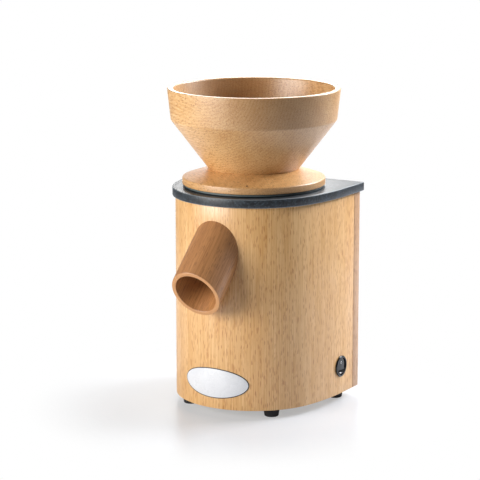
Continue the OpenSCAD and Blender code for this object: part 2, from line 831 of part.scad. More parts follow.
module upper_stone_carrier() {
    color("darkslategray") at_axis() difference() {
        union() {
            translate([0, 0, upper_disc_z]) cylinder(r = skirt_r, h = flange_z - upper_disc_z);
            translate([0, 0, carrier_bottom]) cylinder(r = carrier_flange_r, h = carrier_flange_t);
        }
        translate([0, 0, upper_disc_top]) cylinder(r = skirt_r - skirt_wall, h = flange_z);
        translate([0, 0, upper_disc_z - cut]) cylinder(d = upper_eye_d, h = carrier_t + 2 * cut);
        round_axis(3, stone_screw_circle, 30) translate([0, 0, upper_disc_z - cut])
            cylinder(r = stone_screw_d / 2 + fit, h = carrier_t + 2 * cut);
        round_axis(4, hopper_screw_circle, 45) translate([0, 0, carrier_bottom])
            flat_screw(carrier_flange_t + cut, fit, screw_d, head_d, carrier_flange_t - 0.3);
    }
}

module upper_millstone() {
    color("lightgray") at_axis() difference() {
        tube(stone_r, upper_eye_d / 2, upper_stone_z, upper_disc_z);
        furrows(upper_stone_z - furrow_h);
        round_axis(3, stone_screw_circle, 30) translate([0, 0, upper_disc_z - stone_t / 2])
            cylinder(r = stone_screw_d / 2 + fit, h = stone_t);
    }
}

module upper_stone_screws() {
    color("silver") at_axis() round_axis(3, stone_screw_circle, 30) translate([0, 0, upper_disc_top])
        pan_screw(carrier_t + stone_t / 2 - 1);
}

module hopper_screws() {
    color("silver") at_axis() round_axis(4, hopper_screw_circle, 45) translate([0, 0, carrier_bottom])
        flat_screw(carrier_flange_t + flange_edge - 1, 0, screw_d, head_d, carrier_flange_t - 0.3);
}

// ---- Switch ----

module switch_body() {
    color("black") at_axis() at_switch() difference() {
        union() {
            cylinder(d = bezel_d, h = bezel_t);
            translate([0, 0, -switch_depth]) cylinder(r = barrel_r, h = switch_depth + cut);
        }
        translate([0, 0, pivot_x - side_x]) sphere(r = barrel_bore_r);
        translate([0, 0, pivot_x - side_x]) cylinder(r = barrel_bore_r, h = switch_depth);
        translate([0, 0, pivot_x - side_x]) rotate([90, 0, 0])
            cylinder(r = rocker_pin_d / 2 + run_fit, h = 2 * (barrel_r - 0.3), center = true);
    }
}

// The rocker as it rests: its upper half pressed in, its lower half proud
module switch_rocker() {
    face = 1.6;
    color("black") at_axis() translate([pivot_x, switch_y, switch_floor_z]) union() {
        intersection() {
            rotate([0, 90, 0]) sphere(r = rocker_ball_r);
            rotate([90, 0, 0]) linear_extrude(2 * rocker_d, center = true)
                polygon([[-4, -rocker_d], [face + rocker_d * tan(rocker_travel), -rocker_d],
                         [face, 0], [face, rocker_d], [-4, rocker_d]]);
        }
        rotate([90, 0, 0]) cylinder(d = rocker_pin_d, h = 2 * (barrel_r - 0.6), center = true);
    }
}

module switch_terminals() {
    color("gold") at_axis() for (side = [-1, 1])
        translate([side_x - switch_depth - 8, switch_y + side * blade_y - 0.4, switch_floor_z - 3])
            cube([8, 0.8, 6]);
}

// ---- Other electrics ----

module run_capacitor() {
    cap = capacitor_d / 2;
    color("gainsboro") at_axis() translate([capacitor_x, capacitor_y, base_top]) {
        cylinder(r = cap, h = capacitor_h);
        translate([0, 0, 4 - base_t]) cylinder(r = 4, h = base_t);
        for (side = [-1, 1]) translate([side * 5 - 0.4, -3, capacitor_h - 1]) cube([0.8, 6, 9]);
    }
}

// Sideways place of a screw of the terminal block, counted from the left
function block_screw(i) = block_at[0] + 5 + i * 10;

module terminal_block() {
    color("ivory") at_axis() difference() {
        translate([block_at[0], block_at[1], base_top]) cube(block_size);
        for (i = [0 : 3])
            translate([block_screw(i), block_at[1] + block_size[1] / 2, base_top + block_size[2] - 2])
                cylinder(d = 4, h = 3);
    }
}

function unit(v) = v / norm(v);

// Three points of the short curve that rounds one corner of a route
function corner(route, i) =
    let (before = unit(route[i - 1] - route[i]), after = unit(route[i + 1] - route[i]))
        [for (t = [0, 0.5, 1]) route[i] + lead_bend * (pow(1 - t, 2) * before + pow(t, 2) * after)];

// Sideways directions along a path, each turned as little as can be from the last
function sideways(along, last, i = 0) =
    i == len(along) ? []
        : let (side = unit(last - (last * along[i]) * along[i])) concat([side], sideways(along, side, i + 1));

// A lead: one tube along a route with rounded corners
module lead(route) {
    last = len(route) - 1;
    path = concat([route[0]], [for (i = [1 : last - 1]) each corner(route, i)], [route[last]]);
    count = len(path);
    steps = [for (i = [0 : count - 2]) unit(path[i + 1] - path[i])];
    along = [for (i = [0 : count - 1]) unit(steps[max(i - 1, 0)] + steps[min(i, count - 2)])];
    side = sideways(along, abs(along[0][2]) < 0.5 ? [0, 0, 1] : [1, 0, 0]);
    points = [for (i = [0 : count - 1], k = [0 : lead_sides - 1])
        let (a = k * 360 / lead_sides)
            path[i] + lead_d / 2 * (cos(a) * side[i] + sin(a) * cross(along[i], side[i]))];
    walls = [for (i = [0 : count - 2], k = [0 : lead_sides - 1])
        let (a = i * lead_sides + k, b = i * lead_sides + (k + 1) % lead_sides)
            [a, a + lead_sides, b + lead_sides, b]];
    near_end = [for (k = [0 : lead_sides - 1]) k];
    far_end = [for (k = [lead_sides - 1 : -1 : 0]) (count - 1) * lead_sides + k];
    polyhedron(points, concat(walls, [near_end, far_end]));
}

module internal_leads() {
    block_top = base_top + block_size[2] - 2;
    row = block_at[1] + block_size[1] / 2;
    tip = side_x - switch_depth - 8 - 0.1;
    high = base_top + capacitor_h + 14;
    shield_level = lower_shield_top + 12;
    low_run = base_top + 28;
    to_shield = [block_screw(1), row] * (motor_r + 2) / norm([block_screw(1), row]);
    color("firebrick") at_axis() {
        lead([[tip, switch_y - blade_y, switch_floor_z], [block_screw(3), switch_y - blade_y, switch_floor_z],
              [block_screw(3), row, switch_floor_z], [block_screw(3), row, block_top]]);
        lead([[tip, switch_y + blade_y, switch_floor_z + 4],
              [block_screw(2), switch_y + blade_y, switch_floor_z + 4],
              [block_screw(2), row, switch_floor_z + 4], [block_screw(2), row, block_top]]);
        lead([[block_screw(1), row, block_top], [block_screw(1), row, shield_level],
              [to_shield[0], to_shield[1], shield_level]]);
        lead([[block_screw(0), row, block_top], [block_screw(0), row, low_run],
              [capacitor_x + 27, row + 4, low_run], [capacitor_x + 22, row + 4, high],
              [capacitor_x + 5, capacitor_y, high], [capacitor_x + 5, capacitor_y, base_top + capacitor_h + 8]]);
    }
}

module cord_bushing() {
    color("black") at_axis() at_bushing() difference() {
        union() {
            cylinder(d = bushing_d, h = bushing_t);
            translate([0, 0, -rear_t - 6]) cylinder(d = barrel_d, h = rear_t + 6 + cut);
        }
        translate([0, 0, -rear_t - 6 - cut]) cylinder(r = cord_d / 2 + 2 * fit, h = rear_t + bushing_t + 20);
    }
}

module bushing_nut() {
    color("black") at_axis() at_bushing() difference() {
        translate([0, 0, -rear_t - 5]) cylinder(r = barrel_d / 2 + 4, h = 5, $fn = 6);
        translate([0, 0, -rear_t - 5 - cut]) cylinder(r = barrel_d / 2 + fit, h = 5 + 2 * cut);
    }
}

body_shell();
rear_panel();
rear_battens();
base_board();
top_plate();
rear_panel_screws();
rubber_feet();
foot_screws();
name_badge();
spout();
milling_chamber();
chamber_screws();
motor_upper_shield();
motor_lower_shield();
stator_core();
stator_windings();
motor_bolts();
motor_mount_screws();
bearing_outer_rings();
bearing_balls();
run_capacitor();
terminal_block();
switch_body();
switch_terminals();
internal_leads();
cord_bushing();
bushing_nut();
motor_shaft();
rotor_core();
rotor_end_rings();
bearing_inner_rings();
cooling_fan();
lower_stone_carrier();
lower_millstone();
lower_stone_screws();
shaft_key();
carrier_washer();
carrier_nut();
dust_seal();
hopper_funnel();
hopper_base();
throat_tube();
throat_guard();
setting_dot();
upper_stone_carrier();
upper_millstone();
upper_stone_screws();
hopper_screws();
switch_rocker();
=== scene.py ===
# %% [markdown]
# An electric grain mill: a casing of bent beech with a round nose, a mottled top plate, a turned
# hopper that screws up and down to set the millstones, a sloping wooden spout and a rocker switch.
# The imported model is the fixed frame. Every new piece below sits exactly where that model says and
# takes over the look of one of its nodes, while the rest keep their meshes and only get materials.

import json
import math

import bmesh
import bpy
from mathutils import Euler, Matrix, Vector


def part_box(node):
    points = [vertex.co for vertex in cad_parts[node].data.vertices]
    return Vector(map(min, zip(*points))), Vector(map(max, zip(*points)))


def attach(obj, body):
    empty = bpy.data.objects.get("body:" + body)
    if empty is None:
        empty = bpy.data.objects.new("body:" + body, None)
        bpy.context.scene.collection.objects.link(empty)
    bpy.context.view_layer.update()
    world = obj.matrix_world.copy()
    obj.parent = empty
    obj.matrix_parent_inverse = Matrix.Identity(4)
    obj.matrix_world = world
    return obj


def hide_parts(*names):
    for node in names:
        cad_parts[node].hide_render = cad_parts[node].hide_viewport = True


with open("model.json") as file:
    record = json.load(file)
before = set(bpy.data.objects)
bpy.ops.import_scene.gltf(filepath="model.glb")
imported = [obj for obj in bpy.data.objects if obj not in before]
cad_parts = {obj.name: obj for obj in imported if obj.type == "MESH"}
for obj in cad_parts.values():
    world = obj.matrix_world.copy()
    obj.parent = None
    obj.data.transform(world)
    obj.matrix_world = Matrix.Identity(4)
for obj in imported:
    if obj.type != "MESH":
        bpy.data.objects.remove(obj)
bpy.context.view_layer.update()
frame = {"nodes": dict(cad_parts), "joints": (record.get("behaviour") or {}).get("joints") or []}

# %% [markdown]
# Everything is measured in millimetres about the hopper's axis, as a turner would, with heights from
# the floor. The axis stands a little behind the middle of the outline, and the joint that turns the
# hopper says where. All sizes could be typed in, but they could then drift from the frame, so the
# places and outer sizes are read from the boxes of its nodes.

# %% Sizes
MM = 0.001
joint_places = {joint["name"]: joint.get("pos_m") for joint in frame["joints"]}
axis_place = Vector((0, joint_places["hopper_turn"][1], 0))


def span(node):
    """Lowest and highest corner of a node, in mm about the hopper's axis."""
    low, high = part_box(node)
    return (low - axis_place) / MM, (high - axis_place) / MM


case_low, case_high = span("body_shell")
half_w = case_high.x
nose_r = -case_low.y
seam_y = case_high.y
case_bottom = case_low.z
case_top = case_high.z
print(f"casing {2 * half_w:.0f} wide, nose radius {nose_r:.0f}, from {case_bottom:.0f} to {case_top:.0f}")

# %% [markdown]
# The photograph looks down a little, from the right of the nose, through a long lens. Shifting the
# lens could frame the mill as well, but the photographer turned the camera. So this one aims at a
# point beside the axis too.

# %% Camera
view_azimuth = 30.604
view_elevation = 11.459
view_distance = 2390.8
view_lens = 155.45
sensor_width = 36
aim_sideways = -15.9
aim_height = 188.9


def direction(azimuth, elevation):
    """The way from the mill to a viewer, by the degrees round from the front and up."""
    a, e = math.radians(azimuth), math.radians(elevation)
    return Vector((math.sin(a) * math.cos(e), -math.cos(a) * math.cos(e), math.sin(e)))


sideways = direction(view_azimuth + 90, 0)
backward = direction(view_azimuth, view_elevation)
aim = axis_place + (sideways * aim_sideways + Vector((0, 0, aim_height))) * MM
camera = bpy.data.objects.new("camera", bpy.data.cameras.new("camera"))
camera.data.sensor_width = sensor_width
camera.data.lens = view_lens
camera.location = aim + backward * view_distance * MM
camera.rotation_euler = backward.to_track_quat("Z", "Y").to_euler()
bpy.context.collection.objects.link(camera)
bpy.context.scene.camera = camera
bpy.context.scene.view_settings.view_transform = "Standard"
print("camera at", [round(x, 3) for x in camera.location])

# %% [markdown]
# A material is a small graph of nodes. It could be written out node by node, but its idea would be
# lost among the links. One function adds a node, sets what it is told and links what it is handed,
# and the others are short words for what comes up often, so a graph reads from its pattern to its
# colour. Colours are sRGB hex, as on a paint chart, turned to the linear values that a shader needs.


# %% Helpers for materials
def srgb(code):
    """Linear RGBA of an sRGB hex colour."""
    parts = [int(code[i:i + 2], 16) / 255 for i in (1, 3, 5)]
    return [p / 12.92 if p <= 0.04045 else ((p + 0.055) / 1.055) ** 2.4 for p in parts] + [1]


def add(tree, kind, values=None, **settings):
    """Add a node, set its own settings, and give its sockets values or links."""
    node = tree.nodes.new("ShaderNode" + kind)
    for name, setting in settings.items():
        setattr(node, name, setting)
    for name, value in (values or {}).items():
        if isinstance(value, bpy.types.NodeSocket):
            tree.links.new(value, node.inputs[name])
        else:
            node.inputs[name].default_value = value
    return node


def calc(tree, operation, *values, **settings):
    """What a Math node makes of its values."""
    return add(tree, "Math", dict(enumerate(values)), operation=operation, **settings).outputs[0]


def remap(tree, value, source=(0.0, 1.0), target=(0.0, 1.0), **settings):
    """A value carried over from one range to another."""
    ends = {"From Min": source[0], "From Max": source[1], "To Min": target[0], "To Max": target[1]}
    return add(tree, "MapRange", {"Value": value, **ends}, **settings).outputs[0]


def mix(tree, share, first, second):
    """A colour between two others, which a Mix node has on its sockets 6, 7 and 2."""
    return add(tree, "Mix", {0: share, 6: first, 7: second}, data_type="RGBA").outputs[2]


def stepped(tree, place, sizes):
    """Coordinates that count in steps of these sizes along x, y and z."""
    return add(tree, "Mapping", {"Vector": place, "Scale": [1 / size for size in sizes]}).outputs[0]


def noise(tree, place, detail, **more):
    """Soft noise, whose spots are about one step wide."""
    return add(tree, "TexNoise", {"Vector": place, "Scale": 1.0, "Detail": detail, **more}).outputs["Fac"]


def start_material(name, **shader):
    """A new material with its tree, its shader and the object's coordinates in metres."""
    material = bpy.data.materials.new(name)
    material.use_nodes = True
    tree = material.node_tree
    surface = tree.nodes["Principled BSDF"]
    for socket, value in shader.items():
        surface.inputs[socket.replace("_", " ")].default_value = value
    place = add(tree, "TexCoord").outputs["Object"]
    return material, tree, surface, place


def dress(tree, surface, colour, roughness, height, strength, depth):
    """Hand a shader its colour, its roughness and a relief that is depth mm deep."""
    tree.links.new(colour, surface.inputs["Base Color"])
    tree.links.new(roughness, surface.inputs["Roughness"])
    relief = add(tree, "Bump", {"Height": height, "Strength": strength, "Distance": depth * MM})
    tree.links.new(relief.outputs[0], surface.inputs["Normal"])


print("mid grey, #808080, is", round(srgb("#808080")[0], 3), "of white in linear light")

# %% [markdown]
# The table is a white glossy top, so bright in the photograph that its edge is lost. More light would
# do that too, but would burn out the wood. Instead only the camera sees the top brightened: a share
# of plain white is mixed in, which grows to all of it away from the mill, so the near shadow stays.

# %% Floor
floor_half = 6
floor_shape = bmesh.new()
bmesh.ops.create_grid(floor_shape, x_segments=1, y_segments=1, size=floor_half)
floor_mesh = bpy.data.meshes.new("floor")
floor_shape.to_mesh(floor_mesh)
floor_shape.free()
floor = bpy.data.objects.new("floor", floor_mesh)
bpy.context.collection.objects.link(floor)

shadow_keeps, shadow_ends = 0.13, 0.26
least_white = 0.4
lacquer, tree, surface, place = start_material("white_lacquered_table", Roughness=0.3, IOR=1.4)
surface.inputs["Base Color"].default_value = srgb("#CFD2D8")
away = add(tree, "VectorMath", {0: place}, operation="LENGTH").outputs["Value"]
white_share = remap(tree, away, (shadow_keeps, shadow_ends), (least_white, 1.0),
                    interpolation_type="SMOOTHSTEP")
seen = add(tree, "LightPath").outputs["Is Camera Ray"]
share = calc(tree, "MULTIPLY", white_share, seen)
glow = add(tree, "Emission", {"Color": srgb("#FFFFFF"), "Strength": 1.0}).outputs[0]
mixed = add(tree, "MixShader", {0: share, 1: surface.outputs[0], 2: glow}).outputs[0]
tree.links.new(mixed, tree.nodes["Material Output"].inputs["Surface"])
floor_mesh.materials.append(lacquer)
print("floor:", 2 * floor_half, "m wide, plain white from", shadow_ends, "m on")

# %% [markdown]
# Behind the table is the same white. A lit wall could stand there, but a sky has no edge. It is white
# to the camera, a dim quarter of that in what mirrors it, and lights the mill only faintly, so that
# the lamps shape the wood.

# %% Sky
sky_level = 0.03
mirrored_level = 0.25
world = bpy.context.scene.world or bpy.data.worlds.new("sky")
bpy.context.scene.world = world
world.use_nodes = True
sky = world.node_tree
sky.nodes.clear()
seen = add(sky, "LightPath").outputs
mirrored = calc(sky, "MULTIPLY", seen["Is Glossy Ray"], mirrored_level)
direct = calc(sky, "MAXIMUM", seen["Is Camera Ray"], seen["Is Transmission Ray"])
shown = calc(sky, "MAXIMUM", direct, mirrored)
strength = remap(sky, shown, target=(sky_level, 1.0))
shine = add(sky, "Background", {"Color": srgb("#FFFFFF"), "Strength": strength}).outputs[0]
add(sky, "OutputWorld", {"Surface": shine})
print("sky:", sky_level, "of white as fill")

# %% [markdown]
# The mill stands between soft lights. Points of light would be simpler, but real softboxes have a
# size, and that makes soft edges to the shadows. The main one is low on the left, in front, and
# throws the spout's shadow on the nose. Two more stand behind, on the right: one grazes the straight
# side, and the higher one brightens the rim and the flange. A small one behind on the left lights
# the end of the flange that the hopper doesn't shade, and a wide backdrop shines in all that is flat.

# %% Lamps
lamp_aim = Vector((0, 0, 0.18))


def softbox(name, azimuth, elevation, distance, size, power, tint="#FFFFFF"):
    """A lamp that aims at the middle of the mill, and isn't seen itself."""
    lamp = bpy.data.objects.new(name, bpy.data.lights.new(name, "AREA"))
    lamp.data.shape = "RECTANGLE"
    lamp.data.size, lamp.data.size_y = size
    lamp.data.energy = power
    lamp.data.color = srgb(tint)[:3]
    outward = direction(azimuth, elevation)
    lamp.location = lamp_aim + outward * distance
    lamp.rotation_euler = outward.to_track_quat("Z", "Y").to_euler()
    lamp.visible_camera = False
    bpy.context.collection.objects.link(lamp)
    print(f"lamp {name}: azimuth {azimuth}, elevation {elevation}, {power} W")


softbox("window_left", -29, 14, distance=1.6, size=(1.2, 0.8), power=31, tint="#FFFDFA")
softbox("screen_right", 141, 32, distance=1.6, size=(0.7, 0.6), power=33, tint="#F8FAFF")
softbox("screen_behind", 168, 37, distance=1.6, size=(0.8, 0.7), power=15)
softbox("lit_backdrop", 206, 14, distance=2.2, size=(2.0, 1.6), power=10)
softbox("rim_left", -150, 27, distance=1.6, size=(0.5, 0.5), power=7)

# %% [markdown]
# Beech is pale, close wood. Along the grain it shows short dark dashes, which are its rays cut
# across, fine fibre lines, and soft bands where the year's growth rings come to the surface. A flat
# pattern could be laid on each face. This one fills the piece like real wood instead, so a flat
# face, a turned one and an end each show it in their own way. The pattern's z runs along the grain.

# %% Beech
BAND_SCALE = 0.314    # the scale of a wave texture that sets its bands one unit apart


def beech(name, light, middle, dark, turn, heart, ring=3.0, bands=0.25, ray=0.6,
          end="#8A6848", end_tone=0.3):
    """Oiled beech: turn lays the grain, and rings ring mm apart lie round the heart."""
    material, tree, surface, place = start_material(name, Specular_IOR_Level=0.9)
    grain = add(tree, "Mapping", {
        "Vector": place, "Location": [c * MM for c in heart],
        "Rotation": [math.radians(t) for t in turn], "Scale": (MM, MM, MM),
    }, vector_type="TEXTURE").outputs[0]

    # Growth rings round the heart of the tree, and soft patches, both drawn out along the grain
    drawn = add(tree, "Mapping", {"Vector": grain, "Scale": (1, 1, 0.06)}).outputs[0]
    rings = add(tree, "TexWave", {
        "Vector": drawn, "Scale": BAND_SCALE / ring, "Distortion": 6.0, "Detail": 3.0, "Detail Scale": 0.7,
    }, wave_type="RINGS", rings_direction="Z").outputs["Fac"]
    patches = noise(tree, stepped(tree, grain, (18, 18, 220)), 3.0)

    # Fibres, drawn a little coarser than the real ones so that they show
    fibre = noise(tree, stepped(tree, grain, (0.9, 0.9, 45)), 2.0)

    # Rays: thin dashes a few mm long, one in each cell of a pattern drawn out along the grain
    wander = add(tree, "TexNoise", {"Vector": grain, "Scale": 0.09, "Detail": 1.0}).outputs["Color"]
    cells = stepped(tree, grain, (1.6, 1.6, 9))
    shaken = add(tree, "VectorMath", {0: cells, 1: wander}, operation="ADD").outputs[0]
    dash = add(tree, "TexVoronoi", {"Vector": shaken, "Scale": 1.0, "Randomness": 1.0}).outputs
    near = remap(tree, dash["Distance"], (0.5, 0.24), interpolation_type="SMOOTHSTEP")
    pick = add(tree, "SeparateColor", {0: dash["Color"]}).outputs["Red"]
    rays = calc(tree, "MULTIPLY", near, remap(tree, pick, (0.1, 0.8)))

    # Light to middle tone by bands, patches and fibre, then the rays, then the tone of the ends
    streak, thread = 1.0, 2.2
    level = 0.5 - 0.5 * (bands + streak + thread)
    banded = calc(tree, "MULTIPLY_ADD", rings, bands, level)
    broad = calc(tree, "MULTIPLY_ADD", patches, streak, banded)
    tone = calc(tree, "MULTIPLY_ADD", fibre, thread, broad, use_clamp=True)
    wood = mix(tree, tone, srgb(light), srgb(middle))
    rayed = mix(tree, calc(tree, "MULTIPLY", rays, ray), wood, srgb(dark))
    along = Euler([math.radians(t) for t in turn]).to_matrix() @ Vector((0, 0, 1))
    normal = add(tree, "TexCoord").outputs["Normal"]
    facing = add(tree, "VectorMath", {0: normal, 1: along}, operation="DOT_PRODUCT").outputs["Value"]
    end_share = calc(tree, "MULTIPLY", calc(tree, "MULTIPLY", facing, facing), end_tone)
    whole = mix(tree, end_share, rayed, srgb(end))

    # Oiled: satin, a touch duller in the open fibres
    gloss = remap(tree, fibre, target=(0.3, 0.46))
    dress(tree, surface, whole, gloss, height=fibre, strength=0.5, depth=0.05)
    print("wood:", name, "rings", ring, "mm")
    return material


# %% [markdown]
# Each wooden piece is cut from a board of its own. One material for all would be shorter, but its
# grain would run on from piece to piece. So each has its own tones, its own direction of grain, in
# degrees about x, y and z, and its own heart of the tree, in mm: upright in the casing, lying across
# in the hopper, and along the slope in the spout, whose cut end is pale.

# %% Woods
grain_azimuth = 52
spout_slope = 43.3
upright = (0, 0, 0)
across = (90, 0, grain_azimuth)
casing_beech = beech("oiled_beech_casing", "#E7BD85", "#CE9855", "#A85F1E", upright, (200, 300, 0), ring=2.6)
panel_beech = beech("oiled_beech_panel", "#CBA27C", "#B78A64", "#926844", upright, (0, 900, 0), ring=3.5)
hopper_beech = beech("turned_beech_hopper", "#E6BD86", "#C79152", "#985B22", across, (-50, -42, 368),
                     ring=3.6, bands=0.3, end="#6E4A28", end_tone=0.6)
flange_beech = beech("turned_beech_flange", "#DBAC72", "#C18C51", "#93653A", across, (60, 10, 60), ring=3.6)
spout_beech = beech("turned_beech_spout", "#BE8652", "#9B673A", "#734622", (spout_slope - 90, 0, 0),
                    (40, 20, 0), ray=0.5, end="#D39B66", end_tone=0.8)
batten_beech = beech("planed_beech_battens", "#E2BF90", "#CFA671", "#A67C4D", upright, (300, 0, 0))

# %% [markdown]
# A piece is modelled in mm about the hopper's axis, which keeps its numbers round. Scaling and moving
# its object would do for the looks, but each object has to stay at the origin, so the mesh itself is
# scaled and moved. The same function closes its seams, points its faces outwards, smooths all but
# its sharp edges and hangs it on its body. Where the real piece's edges are eased, a bevel rounds
# them first.

# %% Finishing a piece
weld = 0.001


def finish_piece(name, shape, material, body, replaces=(), sharp=30):
    """Turn a bmesh in mm into a finished piece that rides on a body."""
    bmesh.ops.remove_doubles(shape, verts=shape.verts, dist=weld)
    bmesh.ops.recalc_face_normals(shape, faces=shape.faces)
    bmesh.ops.scale(shape, vec=(MM, MM, MM), verts=shape.verts)
    bmesh.ops.translate(shape, vec=axis_place, verts=shape.verts)
    open_edges = sum(1 for edge in shape.edges if len(edge.link_faces) != 2)
    mesh = bpy.data.meshes.new(name)
    shape.to_mesh(mesh)
    shape.free()
    mesh.materials.append(material)
    mesh.shade_smooth()
    mesh.set_sharp_from_angle(angle=math.radians(sharp))
    piece = bpy.data.objects.new(name, mesh)
    bpy.context.collection.objects.link(piece)
    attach(piece, body)
    if replaces:
        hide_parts(*replaces)
    print(f"{name}: {len(mesh.polygons)} faces, {open_edges} open edges")
    return piece


def bevel_sharp(shape, width, segments=3, above=40, where=None):
    """Round every edge that turns by more than an angle, or those of them that a test picks."""
    bmesh.ops.recalc_face_normals(shape, faces=shape.faces)
    edges = [
        edge for edge in shape.edges
        if len(edge.link_faces) == 2 and edge.calc_face_angle(0) > math.radians(above)
        and (where is None or where(edge))
    ]
    bmesh.ops.bevel(shape, geom=edges, offset=width, offset_type="OFFSET", segments=segments,
                    profile=0.5, affect="EDGES", clamp_overlap=True, material=-1)


# %% [markdown]
# Holes and slots are cut as in a workshop: a tool takes its own shape out of a blank. A hole could
# be left open while its piece is drawn, but on a curved wall its edge would be hard to draw. Most
# blanks and tools are bars and blocks, and several can be joined into one.

# %% Blanks and cuts
play = 0.05       # room between a hole's wall and what fills it
through = 60      # how far a tool reaches past a surface, enough for the slanting spout too


def carve(blank, tool, operation="DIFFERENCE"):
    """Cut one closed bmesh with another and give back the result."""
    pair = []
    for shape in (blank, tool):
        bmesh.ops.recalc_face_normals(shape, faces=shape.faces)
        mesh = bpy.data.meshes.new("carving")
        shape.to_mesh(mesh)
        shape.free()
        pair.append(bpy.data.objects.new("carving", mesh))
        bpy.context.collection.objects.link(pair[-1])
    cut = pair[0].modifiers.new("cut", "BOOLEAN")
    cut.object = pair[1]
    cut.operation = operation
    cut.solver = "EXACT"
    result = bmesh.new()
    result.from_object(pair[0], bpy.context.evaluated_depsgraph_get())
    for used in pair:
        mesh = used.data
        bpy.data.objects.remove(used)
        bpy.data.meshes.remove(mesh)
    return result


def rod(radius, low, high, place=Matrix(), sides=96):
    """A closed round bar along the z axis of a place."""
    shape = bmesh.new()
    bmesh.ops.create_cone(shape, cap_ends=True, segments=sides, radius1=radius, radius2=radius,
                          depth=high - low, matrix=place @ Matrix.Translation((0, 0, (low + high) / 2)))
    return shape


def block(low, high, place=Matrix()):
    """A closed box between two corners."""
    middle = Matrix.Translation((Vector(high) + Vector(low)) / 2)
    size = Matrix.Diagonal(Vector(high) - Vector(low)).to_4x4()
    shape = bmesh.new()
    bmesh.ops.create_cube(shape, size=1, matrix=place @ middle @ size)
    return shape


def join(*shapes):
    """Put several bmeshes into the first one."""
    for other in shapes[1:]:
        mesh = bpy.data.meshes.new("joining")
        other.to_mesh(mesh)
        other.free()
        shapes[0].from_mesh(mesh)
        bpy.data.meshes.remove(mesh)
    return shapes[0]


print("play round the spout, the switch's barrel and the bushing:", play, "mm")

# %% [markdown]
# The casing is one board bent round a form: a round nose, two long side arcs and straight ends. Its
# plan could be a curve with handles, but arcs with true centres keep it exactly on the frame. So it
# is a chain of edges, grown by spinning one vertex about each arc's centre, and the top plate can
# use the same chain, a little larger.

# %% The casing's plan
shell_t = 8
side_start = 40
side_r = (half_w**2 - nose_r**2 + side_start**2) / (2 * (half_w - nose_r))
nose_steps = 96
side_steps = 10


def plan(shape, grow, back, level):
    """Draw the plan, grown outwards, as a chain from its left back corner to its right."""
    centre_x = side_r - half_w
    join_angle = math.atan2(side_start, centre_x)
    tip = shape.verts.new((-half_w - grow, back, level))
    edges = []
    start = shape.verts.new((-half_w - grow, side_start, level))
    edges.append(shape.edges.new((tip, start)))
    arcs = (
        ((centre_x, side_start, level), join_angle, side_steps),
        ((0, 0, level), math.pi - 2 * join_angle, nose_steps),
        ((-centre_x, side_start, level), join_angle, side_steps),
    )
    for centre, angle, count in arcs:
        known = set(shape.edges)
        turned = bmesh.ops.spin(shape, geom=[start], cent=centre, axis=(0, 0, 1), angle=angle,
                                steps=count, use_merge=False)
        start = next(part for part in turned["geom_last"] if isinstance(part, bmesh.types.BMVert))
        edges += [edge for edge in shape.edges if edge not in known]
    end = shape.verts.new((half_w + grow, back, level))
    edges.append(shape.edges.new((start, end)))
    return edges, tip, end


def raise_faces(shape, height):
    """Extrude all faces straight up to a closed solid."""
    raised = bmesh.ops.extrude_face_region(shape, geom=shape.faces[:])
    verts = [part for part in raised["geom"] if isinstance(part, bmesh.types.BMVert)]
    bmesh.ops.translate(shape, vec=(0, 0, height), verts=verts)


print(f"plan: side arcs of radius {side_r:.1f} mm")

# %% [markdown]
# The shell could be a thickened sheet, but then its inner wall would depend on a modifier. Two chains
# of the plan, the outside and the inside, are bridged to a flat horseshoe instead, which is raised
# to its height. Its edges are eased before the spout's and the switch's holes are cut, so that the
# holes stay crisp.

# %% Casing
eased = 0.8
spout_r = 29.6
spout_drop = 57.6
barrel_r = 11.3
spout_meets_nose = case_top - spout_drop
spout_place = Matrix.Translation((0, -nose_r, spout_meets_nose)) @ Matrix.Rotation(
    math.radians(90 + spout_slope), 4, "X")
switch_low, switch_high = span("switch_body")
switch_y = (switch_low.y + switch_high.y) / 2
switch_z = (switch_low.z + switch_high.z) / 2
switch_place = Matrix.Translation((half_w, switch_y, switch_z)) @ Matrix.Rotation(math.radians(90), 4, "Y")

shell = bmesh.new()
outer, _, _ = plan(shell, 0, seam_y, case_bottom)
inner, _, _ = plan(shell, -shell_t, seam_y, case_bottom)
bmesh.ops.bridge_loops(shell, edges=outer + inner)
raise_faces(shell, case_top - case_bottom)
bevel_sharp(shell, width=eased, segments=2, above=60)
shell = carve(shell, rod(spout_r + play, -through, through, spout_place))
shell = carve(shell, rod(barrel_r + play, -through, through, switch_place))
finish_piece("casing_shell", shell, casing_beech, "housing", ["body_shell"], sharp=35)

# %% [markdown]
# The rear panel is a flat board with six slots for the motor's cooling air. It could be drawn with
# its openings, but cutting them out of an eased blank, in the order that a joiner works, keeps each
# one a single line: the slots, then the cord's hole, then the countersunk seats of the screws.

# %% Rear panel
slot_w, slot_h, slot_step, slot_count = 70, 4, 9, 6
slots_up = 60
bushing_barrel_r = 6.5
head_r = 4
screw_hole_r = 2.05
seat_room = 0.15
seat_depth = 2.3
shank_from = 2

